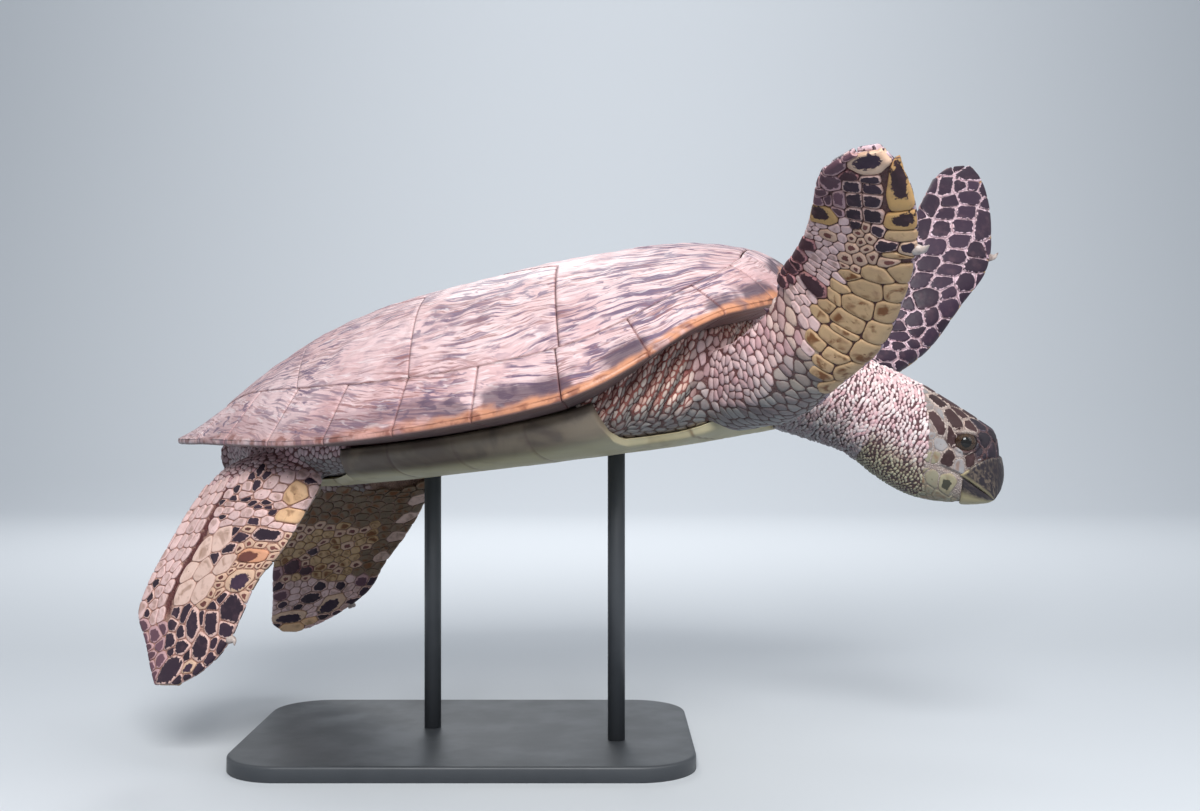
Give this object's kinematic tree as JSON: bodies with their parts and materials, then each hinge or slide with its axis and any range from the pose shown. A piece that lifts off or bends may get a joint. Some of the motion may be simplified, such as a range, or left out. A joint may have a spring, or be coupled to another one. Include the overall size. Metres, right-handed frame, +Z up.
{
  "type": "hawksbill sea turtle model",
  "caption": "Life-size hawksbill sea turtle held swimming, front flippers raised and hind flippers trailing, on a flat stand with rods up to its belly.",
  "frame": {"origin": "centre of the stand base's underside, on the floor", "axes": "+Z up, +X roughly the way the turtle swims (its nose is turned 16 degrees towards -Y), +Y to its left"},
  "size_m": [0.933, 0.7555, 0.6433],
  "materials": {
    "carapace": "worn horn scutes, tan and cream with violet-brown streaks",
    "rim": "worn horn marginals, amber at the edge with dark patches",
    "plastron": "pale yellow-cream horn over bone",
    "skin": "scaled skin, dark brown scales with pale margins, pinkish cream between",
    "beak": "horn, light brown with dark streaks",
    "eye": "wet dark eye",
    "claw": "pale horn",
    "stand": "matt dark grey painted steel"
  },
  "bodies": {
    "root": {"scute_nuchal": "carapace", "scute_vertebral_1": "carapace", "scute_vertebral_2": "carapace", "scute_vertebral_3": "carapace", "scute_vertebral_4": "carapace", "scute_vertebral_5": "carapace", "scute_costal_right_1": "carapace", "scute_costal_right_2": "carapace", "scute_costal_right_3": "carapace", "scute_costal_right_4": "carapace", "marginal_right_1": "rim", "marginal_right_2": "rim", "marginal_right_3": "rim", "marginal_right_4": "rim", "marginal_right_5": "rim", "marginal_right_6": "rim", "marginal_right_7": "rim", "marginal_right_8": "rim", "marginal_right_9": "rim", "marginal_right_10": "rim", "marginal_right_11": "rim", "marginal_right_12": "rim", "scute_costal_left_1": "carapace", "scute_costal_left_2": "carapace", "scute_costal_left_3": "carapace", "scute_costal_left_4": "carapace", "marginal_left_1": "rim", "marginal_left_2": "rim", "marginal_left_3": "rim", "marginal_left_4": "rim", "marginal_left_5": "rim", "marginal_left_6": "rim", "marginal_left_7": "rim", "marginal_left_8": "rim", "marginal_left_9": "rim", "marginal_left_10": "rim", "marginal_left_11": "rim", "marginal_left_12": "rim", "plastron": "plastron", "trunk": "skin", "neck": "skin", "tail": "skin", "head": "skin", "jaw_lower": "skin", "beak_upper": "beak", "beak_lower": "beak", "eye_right": "eye", "front_flipper_right": "skin", "front_claw_right": "claw", "hind_flipper_right": "skin", "hind_claw_right": "claw", "eye_left": "eye", "front_flipper_left": "skin", "front_claw_left": "claw", "hind_flipper_left": "skin", "hind_claw_left": "claw", "stand_base": "stand", "stand_rod_front": "stand", "stand_rod_rear": "stand"}
  },
  "joints": []
}
